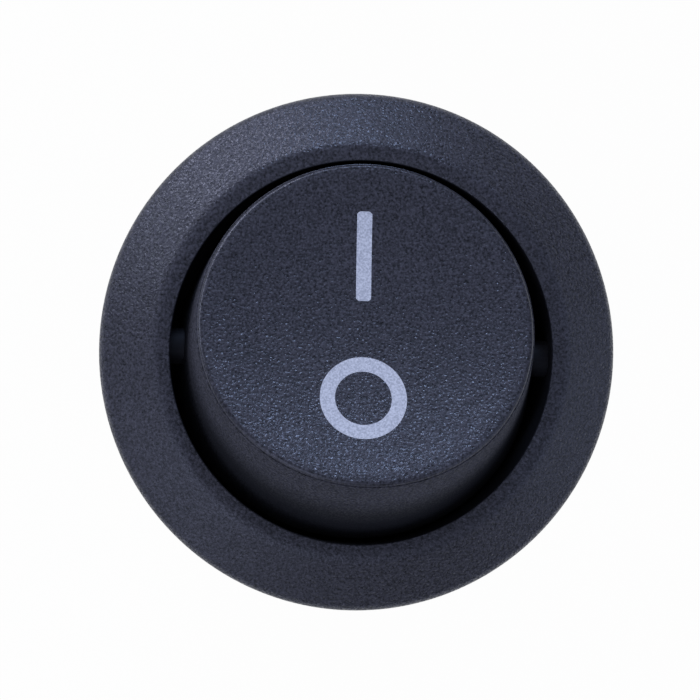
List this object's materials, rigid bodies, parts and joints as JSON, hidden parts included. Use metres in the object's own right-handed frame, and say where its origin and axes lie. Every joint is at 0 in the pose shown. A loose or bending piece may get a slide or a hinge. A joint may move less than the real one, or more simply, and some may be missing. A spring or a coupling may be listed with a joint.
{
  "type": "panel rocker switch",
  "caption": "Round snap-in panel rocker switch: a dished on/off rocker in a round bezel, with snap wings behind it and blade terminals for push-on connectors.",
  "frame": {"origin": "centre of the round cut-out, on the panel's front face that the bezel's underside seats on", "axes": "+Z out of the panel towards the user, +Y towards the rocker's on half, X along the rocker's pivot"},
  "size_m": [0.023, 0.023, 0.0274],
  "materials": {
    "housing_plastic": "fine spark-eroded texture, dark bluish grey",
    "rocker_plastic": "fine spark-eroded texture, dark bluish grey, with pale printed on and off marks",
    "plunger_nylon": "natural nylon, semi-matt",
    "spring_steel": "bright drawn wire",
    "copper_strip": "rolled copper alloy",
    "contact_silver": "bare silver alloy",
    "tinned_brass": "stamped, satin tin plate"
  },
  "bodies": {
    "housing": {"housing": "housing_plastic", "common_terminal": "tinned_brass", "load_terminal": "tinned_brass", "fixed_contact": "contact_silver"},
    "rocker": {"rocker": "rocker_plastic", "plunger_spring": "spring_steel"},
    "plunger": {"plunger": "plunger_nylon"},
    "contact_arm": {"contact_arm": "copper_strip", "moving_contact": "contact_silver"}
  },
  "joints": [
    {"name": "rocker_pivot", "type": "hinge", "parent": "housing", "child": "rocker", "pos_m": [0, 0, 0], "axis": [1, 0, 0], "range_deg": [0, 34]},
    {"name": "contact_pivot", "type": "hinge", "parent": "housing", "child": "contact_arm", "pos_m": [0, 0, -0.00823], "axis": [1, 0, 0], "range_deg": [-18, 0]},
    {"name": "plunger_slide", "type": "slide", "parent": "rocker", "child": "plunger", "axis": [0, 0.2924, 0.9563], "range_m": [0, 0.0006], "stiffness_N_per_m": 400, "springref_m": -0.0025, "deforming": ["plunger_spring"]}
  ],
  "couplings": [
    {"joint": "contact_pivot", "follows": "rocker_pivot", "ratio": -0.5294}
  ]
}
